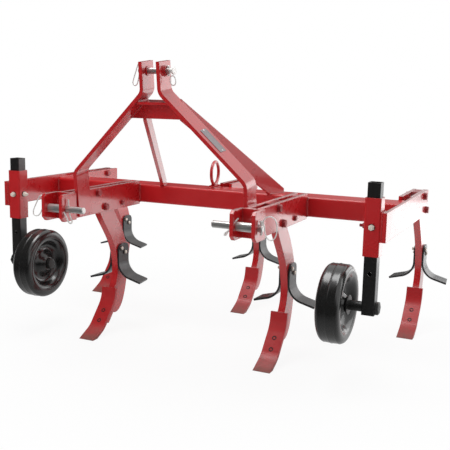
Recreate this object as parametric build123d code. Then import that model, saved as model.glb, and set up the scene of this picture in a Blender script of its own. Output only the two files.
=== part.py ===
# Five-tine subsoiler for a small tractor's three-point linkage, category 1, in millimetres.
# One rectangular beam crosses the machine. Two tines hang between plates in front of the beam,
# and three more behind it. An A-shaped mast of flat bar carries the top link, and a gauge wheel
# on a sliding leg hangs at each end.
# The model is drawn about the middle of the lower link pins: X across, Y to the rear, Z up.
# At the end it is set on the floor, with the origin under the middle of the machine.
from build123d import *
import math
import os

os.makedirs("parts", exist_ok=True)

# Steel sections
plate = 12.0
tine_thickness = 25.0
beam_wall = 6.0
wire = 4.0

# Lower linkage: two clevises, each of two ears and a back wall
clevis_spread = 683.0
ear_gap = 58.0
ear_front = -27.0
ear_rear = 52.0
ear_chamfer_top = 9.0
ear_chamfer_bottom = 14.0
plate_low = -41.0
plate_high = 49.0
pin_diameter = 22.0
pin_bush_diameter = 28.4
pin_stub = 68.0
pin_outer_end = 14.0
pin_clearance = 0.05
pin_chamfer = 2.0
pin_bush_clearance = 0.3

# Beam
beam_front = 485.0
beam_depth = 110.0
beam_low = -34.0
beam_high = 36.0
beam_corner = 8.0
beam_half_length = 704.0

# Mast
mast_spread = 50.0
mast_bar_width = 70.0
mast_lean = 7.0
mast_foot_front = 72.5
mast_over_pin = 30.0
mast_bend_under_pin = 64.0
mast_low_bend = 117.0
mast_bottom = -36.0
mast_bend_radius = 34.0
top_pin_height = 450.0
top_pin_diameter = 19.0
top_pin_end = 15.0
top_boss_diameter = 34.0
top_boss_height = 4.0

# Cross piece of the mast, an angle
cross_under_pin = 93.0
cross_height = 60.0
cross_thickness = 8.0
cross_flange_front = 6.0

# Rear stays
stay_width = 54.0
stay_top_x = 64.0
stay_under_pin = 82.0
stay_foot_x = 246.0
stay_foot_rear_gap = 38.0
stay_heel = 16.0
stay_overlap = 60.0

# Ring on the beam
ring_mean_diameter = 84.0
ring_bar = 12.0
ring_x = -25.0
ring_rear_gap = 47.0
ring_turn = 7.0
ring_flat = 3.0
ring_lug_width = 20.0
ring_lug_length = 56.0
ring_lug_height = 10.0

# Tines
tine_row_pitch = 572.0
tine_head_front = 174.0
tine_head_rear = 265.0
tine_bolt_high = (203.0, 33.0)
tine_bolt_low = (249.0, -23.0)
tine_bolt_hole = 17.0
rear_plate_end = 853.0

# Shank outline below the head, as (y, z) in the side view: down the front edge to behind the
# share, then round the foot from the tongue that carries the share and up the rear edge
shank_front_edge = [
    # y, z
    (247.0, -66.0),
    (285.0, -118.0),
    (318.0, -168.0),
    (338.0, -218.0),
    (346.0, -268.0),
    (339.0, -314.0),
    (306.0, -358.0),
]
shank_tongue = [
    # y, z
    (286.0, -392.0),
    (233.0, -457.0),
    (284.0, -470.0),
    (315.0, -436.0),
]
shank_rear_edge = [
    # y, z
    (315.0, -436.0),
    (341.0, -438.0),
    (366.0, -422.0),
    (389.0, -384.0),
    (403.0, -340.0),
    (413.0, -276.0),
    (408.0, -200.0),
    (378.0, -126.0),
    (328.0, -56.0),
]

# Shares, flat bar with two bends, given by the corners of the front face as (y, z)
share_width = 60.0
share_thickness = 12.0
share_bend_radius = 90.0
share_room = 60.0
share_face = [
    # y, z
    (305.0, -338.0),
    (297.0, -384.0),
    (222.0, -468.0),
    (128.0, -513.0),
]
ground = -500.0

# Wings
wing_width = 68.0
wing_thickness = 7.0
wing_front = 344.0
wing_top = -180.0
wing_bend_start = -246.0
wing_radius = 62.0
wing_droop = 15.0
wing_reach = 50.0
wing_corner = 22.0
wing_tip_slant = 6.0

# Gauge wheel sleeves and legs
sleeve_size = 50.0
sleeve_wall = 4.6
sleeve_front = 177.0
sleeve_low = -87.0
sleeve_high = 91.0
pad_thickness = 7.0
pad_margin = 5.0
leg_size = 40.0
leg_wall = 4.0
leg_corner = 3.0
leg_low = -270.0
leg_high = 136.0
leg_hole = 13.0
leg_hole_heights = (-20.0, -80.0, -140.0)
axle_height = -249.0
axle_diameter = 25.0
axle_head_diameter = 34.0
axle_head = 9.0
axle_collar_diameter = 32.0
axle_washer_diameter = 62.0
axle_washer = 4.0
axle_clearance = 0.05
wheel_outer_gap = 44.0

# Lock pins of the hitch pins
lock_pin_diameter = 9.0
lock_pin_reach = 12.0
bail_width = 42.0
bail_length = 66.0
bail_corner = 5.0
bail_top = 24.0
lock_pin_gap = 8.0
lock_pin_head = 14.0
lock_pin_head_height = 8.0
bail_swing = 22.0

# Gauge wheels
wheel_diameter = 250.0
wheel_width = 74.0
wheel_wall = 4.0
wheel_shoulder = 16.0
dish_diameter = 150.0
dish_depth = 30.0
hub_diameter = 48.0
hub_length = 68.0
hub_nut = 12.0

# Worked out from the sizes above
clevis_x = clevis_spread / 2
ear_face = ear_gap / 2 + plate
beam_rear = beam_front + beam_depth
outer_tine_x = beam_half_length - pad_thickness - tine_thickness / 2
mast_top = top_pin_height + mast_over_pin
mast_top_bend = top_pin_height - mast_bend_under_pin
cross_high = top_pin_height - cross_under_pin
cross_low = cross_high - cross_height
stay_top_height = top_pin_height - stay_under_pin
mast_top_x = mast_spread / 2 + plate / 2
mast_foot_x = clevis_x - tine_thickness / 2 - plate - plate / 2
top_lock_x = mast_spread / 2 + plate + top_boss_height + lock_pin_gap
lower_lock_outer = clevis_x + ear_face + lock_pin_gap
lower_lock_inner = clevis_x - ear_face - lock_pin_gap
leg_x = beam_half_length - pad_thickness - sleeve_size / 2
leg_y = sleeve_front + sleeve_size / 2
wheel_x = leg_x - leg_size / 2 - wheel_outer_gap - wheel_width / 2
hub_outer = wheel_x + hub_length / 2
hub_inner = wheel_x - hub_length / 2

# Where each tine hangs: which row it is in, and its place across the machine
tines = [
    # name, row, x
    ("front_right", 0, clevis_x),
    ("front_left", 0, -clevis_x),
    ("rear_right", 1, outer_tine_x),
    ("rear_centre", 1, 0.0),
    ("rear_left", 1, -outer_tine_x),
]


def block(x_low, x_high, y_low, y_high, z_low, z_high):
    """A box between two corners."""
    size = Box(x_high - x_low, y_high - y_low, z_high - z_low)
    middle = ((x_low + x_high) / 2, (y_low + y_high) / 2, (z_low + z_high) / 2)
    return Pos(*middle) * size


def rod(x_low, x_high, y, z, diameter):
    """A round bar along X."""
    bar = Cylinder(diameter / 2, x_high - x_low, rotation=(0, 90, 0))
    return Pos((x_low + x_high) / 2, y, z) * bar


def side_plate(x_low, x_high, corners):
    """A plate that lies in the side view, cut to the corners given as (y, z)."""
    outline = make_face(Polyline([(0, y, z) for y, z in corners], close=True))
    return Pos(x_low, 0, 0) * extrude(outline, x_high - x_low, dir=(1, 0, 0))


def mirrored(shape):
    """The left-hand copy of a right-hand piece."""
    return mirror(shape, about=Plane.YZ)


def bolt_holes(x_low, x_high, row_shift):
    """The two bolt holes of a tine, through plates and shank alike."""
    high = rod(x_low, x_high, tine_bolt_high[0] + row_shift, tine_bolt_high[1], tine_bolt_hole)
    low = rod(x_low, x_high, tine_bolt_low[0] + row_shift, tine_bolt_low[1], tine_bolt_hole)
    return high + low


# Beam: a rectangular tube, closed at its ends by the arm plates
def make_beam():
    outer = Plane.YZ * RectangleRounded(beam_depth, beam_high - beam_low, beam_corner)
    inner = Plane.YZ * RectangleRounded(
        beam_depth - 2 * beam_wall, beam_high - beam_low - 2 * beam_wall, beam_corner - beam_wall)
    tube = extrude(outer - inner, beam_half_length, both=True)
    return Pos(0, beam_front + beam_depth / 2, (beam_low + beam_high) / 2) * tube


# Clevis: two chamfered ears and the wall that joins them, with the bore of the lower link pin
def make_clevis():
    ear_outline = [
        (ear_front, plate_low + ear_chamfer_bottom),
        (ear_front, plate_high - ear_chamfer_top),
        (ear_front + ear_chamfer_top, plate_high),
        (ear_rear, plate_high),
        (ear_rear, plate_low),
        (ear_front + ear_chamfer_bottom, plate_low),
    ]
    ear_inner = ear_gap / 2
    ears = [
        side_plate(clevis_x + ear_inner, clevis_x + ear_inner + plate, ear_outline),
        side_plate(clevis_x - ear_inner - plate, clevis_x - ear_inner, ear_outline),
    ]
    wall = block(clevis_x - ear_inner, clevis_x + ear_inner, ear_rear - plate, ear_rear, plate_low, plate_high)
    bore = rod(clevis_x - ear_gap, clevis_x + ear_gap, 0, 0, pin_diameter + 2 * pin_clearance)
    return ears[0] + ears[1] + wall - bore


def lock_hole():
    """The cross hole of a hitch pin, for its lock pin."""
    return Cylinder(lock_pin_diameter / 2 + pin_clearance, 2 * pin_diameter)


# Lower link pin: a stub towards the middle, a thicker bush between the ears
def make_lower_pin():
    pin = rod(clevis_x - ear_face - pin_stub, clevis_x + ear_face + pin_outer_end, 0, 0, pin_diameter)
    bush_half = ear_gap / 2 - pin_bush_clearance
    bush = rod(clevis_x - bush_half, clevis_x + bush_half, 0, 0, pin_bush_diameter)
    pin = chamfer(pin.edges().filter_by(GeomType.CIRCLE), pin_chamfer) + bush
    return pin - Pos(lower_lock_inner, 0, 0) * lock_hole() - Pos(lower_lock_outer, 0, 0) * lock_hole()


# Plates at the sides of a tine, welded to the beam's front or rear face.
# The outer plate of an outermost tine is a thin packing: the arm stands behind it.
def make_clamp(x, row):
    gap = tine_thickness / 2
    y_low, y_high = (ear_rear, beam_front) if row == 0 else (beam_rear, rear_plate_end)
    outline = [(y_low, plate_low), (y_low, plate_high), (y_high, plate_high), (y_high, plate_low)]
    holes = bolt_holes(x - gap - 2 * plate, x + gap + 2 * plate, row * tine_row_pitch)
    left = pad_thickness if x == -outer_tine_x else plate
    right = pad_thickness if x == outer_tine_x else plate
    plates = [side_plate(x - gap - left, x - gap, outline), side_plate(x + gap, x + gap + right, outline)]
    return Compound([one - holes for one in plates])


# Arm: the outermost plate, from the gauge wheel's sleeve past the beam's end to the rear tine
def make_arm():
    outline = [(sleeve_front, plate_low), (sleeve_front, plate_high), (rear_plate_end, plate_high),
               (rear_plate_end, plate_low)]
    arm = side_plate(beam_half_length, beam_half_length + plate, outline)
    return arm - bolt_holes(beam_half_length - plate, beam_half_length + 2 * plate, tine_row_pitch)


# Mast, drawn upright with its front face at y = 0, then leaned forward over its foot
def lean(shape):
    return Pos(0, mast_foot_front, 0) * Rot(mast_lean, 0, 0) * shape


def mast_line(height):
    """Middle of the right mast bar's thickness at a height on its sloping run."""
    run = (mast_top_bend - height) / (mast_top_bend - mast_low_bend)
    return mast_top_x + run * (mast_foot_x - mast_top_x)


def mast_inner_x(height):
    """Inner face of the right mast bar at a height on its sloping run."""
    rise = mast_top_bend - mast_low_bend
    slant = math.hypot(mast_foot_x - mast_top_x, rise) / rise
    return mast_line(height) - plate / 2 * slant


def make_mast_bar():
    line = FilletPolyline(
        (mast_top_x, 0, mast_top), (mast_top_x, 0, mast_top_bend),
        (mast_foot_x, 0, mast_low_bend), (mast_foot_x, 0, mast_bottom),
        radius=mast_bend_radius)
    section = Plane(origin=(mast_top_x, 0, mast_top), x_dir=(1, 0, 0), z_dir=(0, 0, -1))
    bar = sweep(section * Rectangle(plate, mast_bar_width), path=line)
    bar = Pos(0, mast_bar_width / 2, 0) * bar
    bore = rod(0, mast_spread * 2, mast_bar_width / 2, top_pin_height, top_pin_diameter + 2 * pin_clearance)
    face = mast_spread / 2 + plate
    boss = rod(face, face + top_boss_height, mast_bar_width / 2, top_pin_height, top_boss_diameter)
    return lean(bar + boss - bore)


def make_cross_piece():
    top = mast_inner_x(cross_high)
    bottom = mast_inner_x(cross_low)
    web = Polyline((-top, 0, cross_high), (top, 0, cross_high), (bottom, 0, cross_low), (-bottom, 0, cross_low),
                   close=True)
    web = Pos(0, mast_bar_width - cross_thickness, 0) * extrude(make_face(web), cross_thickness, dir=(0, 1, 0))
    under = mast_inner_x(cross_high - cross_thickness)
    flange = Polyline((-top, 0, cross_high), (top, 0, cross_high), (under, 0, cross_high - cross_thickness),
                      (-under, 0, cross_high - cross_thickness), close=True)
    flange = extrude(make_face(flange), mast_bar_width - cross_flange_front, dir=(0, 1, 0))
    return lean(web + Pos(0, cross_flange_front, 0) * flange)


def make_top_pin():
    half = mast_spread / 2 + plate + top_boss_height + top_pin_end
    pin = rod(-half, half, mast_bar_width / 2, top_pin_height, top_pin_diameter)
    pin = chamfer(pin.edges().filter_by(GeomType.CIRCLE), pin_chamfer)
    for side in (-1, 1):
        pin -= Pos(side * top_lock_x, mast_bar_width / 2, top_pin_height) * lock_hole()
    return lean(pin)


# Rear stay: a flat bar on edge, from the mast's cross piece down to the rear edge of the beam
def make_stay():
    web_back = mast_foot_front - math.tan(math.radians(mast_lean)) * stay_top_height + mast_bar_width
    foot_y = beam_rear - stay_foot_rear_gap
    across = stay_foot_x - stay_top_x
    back = foot_y - web_back
    run = math.hypot(across, back)
    turn = math.degrees(math.atan2(back, across))
    drop = stay_top_height - beam_high - stay_heel
    slope = math.atan2(drop, run)
    tall = stay_width / math.cos(slope)
    toe = run - (tall - stay_heel) / math.tan(slope)
    corners = [
        (run, beam_high), (run, beam_high + stay_heel),
        (-stay_overlap, stay_top_height + stay_overlap * math.tan(slope)),
        (-stay_overlap, stay_top_height + stay_overlap * math.tan(slope) - tall),
        (toe, beam_high),
    ]
    outline = make_face(Polyline([(h, 0, z) for h, z in corners], close=True))
    bar = extrude(outline, plate / 2, dir=(0, 1, 0), both=True)
    bar = Pos(stay_top_x, web_back, 0) * Rot(0, 0, turn) * bar
    mast_side = block(-clevis_x, clevis_x, -mast_top, mast_bar_width, mast_bottom, mast_top + stay_width)
    return bar - lean(mast_side)


# Ring for lifting, cut flat where it is welded on a small lug on the beam
def make_ring():
    seat = beam_high + ring_lug_height
    centre_y = beam_rear - ring_rear_gap
    centre_z = seat + ring_mean_diameter / 2 + ring_bar / 2 - ring_flat
    ring = Rot(0, 0, ring_turn) * Rot(0, 90, 0) * Torus(ring_mean_diameter / 2, ring_bar / 2)
    ring = Pos(ring_x, centre_y, centre_z) * ring
    half = ring_lug_width / 2
    lug = block(ring_x - half, ring_x + half, centre_y - ring_lug_length / 2, centre_y + ring_lug_length / 2,
                beam_high, seat)
    below = block(ring_x - ring_mean_diameter, ring_x + ring_mean_diameter, centre_y - ring_mean_diameter,
                  centre_y + ring_mean_diameter, beam_low, seat)
    return (ring - below) + lug


# Share: a wide flat bar bent forward twice, cut off flat where its tip stands on the floor
def share_bar(width, depth_front, depth_rear):
    """The share's line as a bar that reaches so far in front of its face and behind it."""
    path = FilletPolyline([(0, y, z) for y, z in share_face], radius=share_bend_radius)
    start = Plane(origin=path @ 0, x_dir=(1, 0, 0), z_dir=path % 0)
    middle = (depth_front - depth_rear) / 2
    section = start * Pos(0, middle) * Rectangle(width, depth_front + depth_rear)
    return sweep(section, path=path)


def make_share():
    floor = block(-share_width, share_width, 0, tine_head_rear, ground - share_room, ground)
    return share_bar(share_width, 0, share_thickness) - floor


# Tine shank: a slanting head between the plates, then a curve back and forward again.
# Its foot is cut to the share that is bolted on it.
def make_shank():
    head_front = (0, tine_head_front, plate_high)
    head_rear = (0, tine_head_rear, plate_high)
    front = [(0, y, z) for y, z in shank_front_edge]
    tongue = [(0, y, z) for y, z in shank_tongue]
    rear = [(0, y, z) for y, z in shank_rear_edge]
    edge = [
        Line(head_front, front[0]),
        Spline(front),
        Polyline([front[-1]] + tongue),
        Spline(rear),
        Line(rear[-1], head_rear),
        Line(head_rear, head_front),
    ]
    shank = extrude(make_face(edge), tine_thickness / 2, dir=(1, 0, 0), both=True)
    share_space = share_bar(share_width, share_room, share_thickness)
    return shank - share_space - bolt_holes(-tine_thickness, tine_thickness, 0)


# Left and right wings on the sides of the shank
def make_wing_pair():
    start = tine_thickness / 2 + wing_thickness / 2
    centre = start + wing_radius
    angle = math.radians(90 - wing_droop)
    bend_x = centre - wing_radius * math.cos(angle)
    bend_z = wing_bend_start - wing_radius * math.sin(angle)
    tip_x = bend_x + wing_reach * math.sin(angle)
    tip_z = bend_z - wing_reach * math.cos(angle)
    middle = math.radians(90 - wing_droop) / 2
    line = [
        Line((start, 0, wing_top), (start, 0, wing_bend_start)),
        ThreePointArc(
            (start, 0, wing_bend_start),
            (centre - wing_radius * math.cos(middle), 0, wing_bend_start - wing_radius * math.sin(middle)),
            (bend_x, 0, bend_z)),
        Line((bend_x, 0, bend_z), (tip_x, 0, tip_z)),
    ]
    section = Plane(origin=(start, 0, wing_top), x_dir=(1, 0, 0), z_dir=(0, 0, -1))
    wing = sweep(section * Rectangle(wing_thickness, wing_width), path=Wire(line))
    top_edges = wing.edges().filter_by(Axis.X).sort_by(Axis.Z)[-2:]
    wing = Pos(0, wing_front + wing_width / 2, 0) * fillet(top_edges, wing_corner)
    beyond = Pos(wing_width, 0, 0) * Box(2 * wing_width, 4 * wing_width, wing_width)
    tip_cut = Pos(tip_x, wing_front, tip_z) * Rot(0, wing_droop, 0) * Rot(0, 0, wing_tip_slant) * beyond
    wing = wing - tip_cut
    return wing, mirrored(wing)


# Sleeve of a gauge wheel leg: a square tube, with the pad that carries it on the arm
def make_sleeve():
    outer = RectangleRounded(sleeve_size, sleeve_size, sleeve_wall)
    inner = Rectangle(sleeve_size - 2 * sleeve_wall, sleeve_size - 2 * sleeve_wall)
    tube = Pos(leg_x, leg_y, sleeve_low) * extrude(outer - inner, sleeve_high - sleeve_low)
    face = leg_x + sleeve_size / 2
    pad = block(face, face + pad_thickness, leg_y - sleeve_size / 2 + pad_margin,
                leg_y + sleeve_size / 2 - pad_margin, plate_low + pad_margin, plate_high - pad_margin)
    return tube + pad


def make_leg():
    outer = RectangleRounded(leg_size, leg_size, leg_corner)
    inner = Rectangle(leg_size - 2 * leg_wall, leg_size - 2 * leg_wall)
    tube = Pos(leg_x, leg_y, leg_low) * extrude(outer - inner, leg_high - leg_low)
    for height in leg_hole_heights:
        hole = Cylinder(leg_hole / 2, leg_size * 2, rotation=(90, 0, 0))
        tube -= Pos(leg_x, leg_y, height) * hole
    return tube - rod(leg_x - leg_size, leg_x + leg_size, leg_y, axle_height, axle_diameter)


# Stub axle: a bar through the leg with a head outside, a collar and a washer inside
def make_axle():
    leg_inner = leg_x - leg_size / 2
    leg_outer = leg_x + leg_size / 2
    washer_face = hub_outer + axle_clearance
    bar = rod(hub_inner - hub_nut, leg_outer, leg_y, axle_height, axle_diameter)
    head = rod(leg_outer, leg_outer + axle_head, leg_y, axle_height, axle_head_diameter)
    collar = rod(washer_face, leg_inner, leg_y, axle_height, axle_collar_diameter)
    washer = rod(washer_face, washer_face + axle_washer, leg_y, axle_height, axle_washer_diameter)
    nut_face = hub_inner - axle_clearance
    nut = rod(nut_face - hub_nut, nut_face, leg_y, axle_height, axle_collar_diameter)
    return bar + head + collar + washer + nut


# Gauge wheel: pressed shell with a round shoulder, a deep dish each side and a bored hub
def make_wheel():
    half = wheel_width / 2
    rim = wheel_diameter / 2
    dish = dish_diameter / 2
    bore = axle_diameter / 2 + axle_clearance
    hub = hub_diameter / 2
    floor = half - dish_depth
    outline = [
        (bore, hub_length / 2),
        (hub, hub_length / 2),
        (hub + wheel_shoulder, floor),
        (dish - wheel_wall, floor),
        (dish, half),
        (rim - wheel_shoulder, half),
        (rim, half - wheel_shoulder),
    ]
    full = outline + [(r, -z) for r, z in reversed(outline)]
    profile = make_face(Polyline([(r, 0, z) for r, z in full], close=True))
    hollow = [
        (hub + wheel_shoulder, floor - wheel_wall),
        (dish, floor - wheel_wall),
        (dish + wheel_wall, half - wheel_wall),
        (rim - wheel_shoulder, half - wheel_wall),
        (rim - wheel_wall, half - wheel_shoulder),
    ]
    hollow = hollow + [(r, -z) for r, z in reversed(hollow)]
    inside = make_face(Polyline([(r, 0, z) for r, z in hollow], close=True))
    wheel = revolve(profile - inside, axis=Axis.Z)
    return Pos(wheel_x, leg_y, axle_height) * Rot(0, 90, 0) * wheel


# Lock pin: a shaft down through the hitch pin's end, and a wire bail that hangs from its head.
def make_lock_pin(hole_diameter, swing):
    reach = hole_diameter / 2 + lock_pin_reach
    shaft = Cylinder(lock_pin_diameter / 2, 2 * reach)
    head = Pos(0, 0, reach) * Cylinder(lock_pin_head / 2, lock_pin_head_height)
    corners = [(-bail_top / 2, 0), (bail_top / 2, 0), (bail_width / 2, -bail_length), (-bail_width / 2, -bail_length)]
    outline = make_face(Polyline([(0, y, z) for y, z in corners], close=True))
    path = fillet(outline.vertices(), bail_corner).wire()
    section = Plane(origin=path @ 0, z_dir=path % 0) * Circle(wire / 2)
    bail = Pos(0, 0, reach) * Rot(0, swing, 0) * sweep(section, path=path)
    return shaft + head + bail


# Every node by name, each in its place
nodes = {}
nodes["beam"] = make_beam()
nodes["cross_piece"] = make_cross_piece()
nodes["top_pin"] = make_top_pin()
nodes["ring"] = make_ring()

# Pieces that come as a right and a left one
pairs = {
    "clevis": make_clevis(),
    "lower_pin": make_lower_pin(),
    "mast_bar": make_mast_bar(),
    "stay": make_stay(),
    "arm": make_arm(),
    "sleeve": make_sleeve(),
    "leg": make_leg(),
    "axle": make_axle(),
    "wheel": make_wheel(),
}
for name, shape in pairs.items():
    nodes[f"{name}_right"] = shape
    nodes[f"{name}_left"] = mirrored(shape)

# Tines, each with its share, its two wings and the plates that hold it
shank = make_shank()
share = make_share()
wings = Compound(list(make_wing_pair()))
for name, row, x in tines:
    place = Pos(x, row * tine_row_pitch, 0)
    nodes[f"shank_{name}"] = place * shank
    nodes[f"share_{name}"] = place * share
    nodes[f"wings_{name}"] = place * wings
    nodes[f"clamp_{name}"] = make_clamp(x, row)

# Lock pins stand in both ends of each hitch pin
outer = Pos(lower_lock_outer, 0, 0) * make_lock_pin(pin_diameter, -bail_swing)
inner = Pos(lower_lock_inner, 0, 0) * make_lock_pin(pin_diameter, bail_swing)
nodes["lock_pins_right"] = Compound([outer, inner])
nodes["lock_pins_left"] = mirrored(nodes["lock_pins_right"])
top_lock = Pos(top_lock_x, mast_bar_width / 2, top_pin_height) * make_lock_pin(top_pin_diameter, -bail_swing)
nodes["lock_pins_top"] = Compound([lean(top_lock), mirrored(lean(top_lock))])

# Set the machine on the floor, its origin under its middle
box = Compound(list(nodes.values())).bounding_box()
to_floor = Pos(0, -(box.min.Y + box.max.Y) / 2, -box.min.Z)
for name, shape in nodes.items():
    export_step(to_floor * shape, f"parts/{name}.step")
print("Nodes:", len(nodes), "origin moved by", to_floor.position)
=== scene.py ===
import math
import bmesh
import bpy
from mathutils import Matrix, Vector


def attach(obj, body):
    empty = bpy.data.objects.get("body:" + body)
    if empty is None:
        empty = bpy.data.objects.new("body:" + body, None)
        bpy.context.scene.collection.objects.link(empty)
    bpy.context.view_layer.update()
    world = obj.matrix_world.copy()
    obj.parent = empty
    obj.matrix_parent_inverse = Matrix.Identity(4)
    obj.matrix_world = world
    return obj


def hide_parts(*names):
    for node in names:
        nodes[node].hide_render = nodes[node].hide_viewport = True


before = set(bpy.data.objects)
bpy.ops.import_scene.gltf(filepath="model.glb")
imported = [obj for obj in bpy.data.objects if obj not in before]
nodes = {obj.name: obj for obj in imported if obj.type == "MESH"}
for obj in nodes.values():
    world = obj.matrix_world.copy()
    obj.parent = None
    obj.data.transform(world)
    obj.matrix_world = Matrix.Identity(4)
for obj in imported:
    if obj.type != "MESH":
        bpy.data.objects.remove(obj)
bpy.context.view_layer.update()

# Camera: in front of the machine and to its right, a little under the mast's head, tipped down
# and rolled by a degree. Its lens looks 33 degrees wide.
camera_place = Matrix.Translation((1.196845, -2.478539, 0.880179))
camera_turn = Matrix.Rotation(0.4324368, 4, "Z") @ Matrix.Rotation(math.radians(90) - 0.1708558, 4, "X")
camera_roll = Matrix.Rotation(0.0209185, 4, "Z")
bpy.ops.object.camera_add()
camera = bpy.context.object
camera.matrix_world = camera_place @ camera_turn @ camera_roll
camera.data.sensor_width = 36
camera.data.lens = 60.01
bpy.context.scene.camera = camera
bpy.context.scene.view_settings.view_transform = "Standard"


# Studio floor: a sheet of white card that runs out of sight with no edge. Near the machine it
# takes the lamps and the shadow, and further out it goes over into plain white.
def place_node(tree, kind, inputs, **settings):
    """Add a node, set it up, and fill or link its inputs by name."""
    node = tree.nodes.new(kind)
    for name, value in settings.items():
        setattr(node, name, value)
    for socket, value in inputs.items():
        if isinstance(value, bpy.types.NodeSocket):
            tree.links.new(value, node.inputs[socket])
        else:
            node.inputs[socket].default_value = value
    return node


bpy.ops.object.select_all(action="DESELECT")
bpy.ops.mesh.primitive_grid_add(x_subdivisions=8, y_subdivisions=8, size=60, location=(0, 0, -0.0005))
floor = bpy.context.object
floor.name = "floor"
card = bpy.data.materials.new("white_card")
card.use_nodes = True
tree = card.node_tree
card_shader = tree.nodes["Principled BSDF"]
card_shader.inputs["Base Color"].default_value = (0.84, 0.84, 0.84, 1)
card_shader.inputs["Roughness"].default_value = 0.9
card_shader.inputs["Specular IOR Level"].default_value = 0.1
spot = place_node(tree, "ShaderNodeTexCoord", {})
away = place_node(tree, "ShaderNodeVectorMath", {0: spot.outputs["Object"]}, operation="LENGTH")
fade = place_node(tree, "ShaderNodeMapRange", {
    "Value": away.outputs["Value"], "From Min": 0.4, "From Max": 1.5, "To Min": 0.90, "To Max": 1.0},
    interpolation_type="SMOOTHSTEP")
path = place_node(tree, "ShaderNodeLightPath", {})
seen_fade = place_node(tree, "ShaderNodeMath", {0: fade.outputs["Result"], 1: path.outputs["Is Camera Ray"]},
                       operation="MULTIPLY")
white_part = place_node(tree, "ShaderNodeMath", {
    0: seen_fade.outputs["Value"], 1: path.outputs["Is Glossy Ray"]}, operation="MAXIMUM")
floor_parts = place_node(tree, "ShaderNodeSeparateXYZ", {"Vector": spot.outputs["Object"]})
mirrored_floor = place_node(tree, "ShaderNodeMapRange", {
    "Value": floor_parts.outputs["Y"], "From Min": -1.0, "From Max": 0.5, "To Min": 0.04, "To Max": 1.0})
floor_white = place_node(tree, "ShaderNodeMath", {
    0: mirrored_floor.outputs["Result"], 1: path.outputs["Is Camera Ray"]}, operation="MAXIMUM")
white = place_node(tree, "ShaderNodeEmission", {
    "Color": (1, 1, 1, 1), "Strength": floor_white.outputs["Value"]})
card_mix = place_node(tree, "ShaderNodeMixShader", {
    "Fac": white_part.outputs["Value"], 1: card_shader.outputs["BSDF"], 2: white.outputs["Emission"]})
tree.links.new(card_mix.outputs["Shader"], tree.nodes["Material Output"].inputs["Surface"])
floor.data.materials.append(card)

# Studio room: white above and to the right, dark where the camera stands and low on the left.
# Softboxes above, to the right, behind and flat on the floor add up to a light of about one.
room = bpy.data.worlds.new("studio_room")
room.use_nodes = True
bpy.context.scene.world = room
tree = room.node_tree
room_light = tree.nodes["Background"]
room_light.inputs["Color"].default_value = (1, 1, 1, 1)
room_light.inputs["Strength"].default_value = 0.45
path = place_node(tree, "ShaderNodeLightPath", {})
heading = place_node(tree, "ShaderNodeTexCoord", {})
window_side = (0.60, 0.35, 0.72)
to_window = place_node(tree, "ShaderNodeVectorMath", {
    0: heading.outputs["Generated"], 1: window_side}, operation="DOT_PRODUCT")
walls = place_node(tree, "ShaderNodeMapRange", {
    "Value": to_window.outputs["Value"], "From Min": 0.22, "From Max": 0.56, "To Min": 0.05, "To Max": 1.0})
strength = place_node(tree, "ShaderNodeMath", {
    0: walls.outputs["Result"], 1: path.outputs["Is Camera Ray"]}, operation="MAXIMUM")
room_seen = place_node(tree, "ShaderNodeBackground", {
    "Color": (1, 1, 1, 1), "Strength": strength.outputs["Value"]})
either = place_node(tree, "ShaderNodeMath", {
    0: path.outputs["Is Camera Ray"], 1: path.outputs["Is Glossy Ray"]}, operation="MAXIMUM")
room_mix = place_node(tree, "ShaderNodeMixShader", {
    "Fac": either.outputs["Value"], 1: room_light.outputs["Background"], 2: room_seen.outputs["Background"]})
tree.links.new(room_mix.outputs["Shader"], tree.nodes["World Output"].inputs["Surface"])

softboxes = [
    # name, place, aimed at, width, height, watts
    ("softbox_top", (-0.5, -0.3, 3.0), (0.0, 0.0, 0.4), 1.4, 1.4, 38),
    ("softbox_right", (2.7, 1.5, 1.9), (0.1, 0.0, 0.5), 2.4, 2.4, 30),
    ("softbox_behind", (1.9, 3.4, 1.1), (0.2, 0.0, 0.6), 2.4, 1.6, 18),
    ("softbox_on_floor", (1.5, 2.1, 0.02), (1.5, 2.0, 3.0), 2.0, 3.0, 22),
    ("softbox_front", (-1.3, -3.4, 1.7), (0.0, 0.0, 0.4), 2.0, 2.0, 34),
]
for name, place, aim, width, height, watts in softboxes:
    bpy.ops.object.light_add(type="AREA", location=place)
    lamp = bpy.context.object
    lamp.name = name
    lamp.data.shape = "RECTANGLE"
    lamp.data.size = width
    lamp.data.size_y = height
    lamp.data.energy = watts
    lamp.visible_camera = False
    lamp.visible_glossy = name != "softbox_front"
    lamp.rotation_euler = (Vector(aim) - Vector(place)).to_track_quat("-Z", "Y").to_euler()


# Beam, plates, arms and clevises: sawn and flame-cut steel, welded into one frame, then sprayed
# with red powder and baked. The coat is glossy, faintly rippled, and thin on the sharp edges.
def new_effect(name, takes, gives):
    """An empty node group with named inputs and outputs."""
    effect = bpy.data.node_groups.new(name, "ShaderNodeTree")
    for label, start in takes:
        socket = effect.interface.new_socket(name=label, in_out="INPUT", socket_type="NodeSocketFloat")
        socket.default_value = start
    for label, kind in gives:
        effect.interface.new_socket(name=label, in_out="OUTPUT", socket_type=kind)
    entry = effect.nodes.new("NodeGroupInput")
    result = effect.nodes.new("NodeGroupOutput")
    return effect, entry, result


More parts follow.
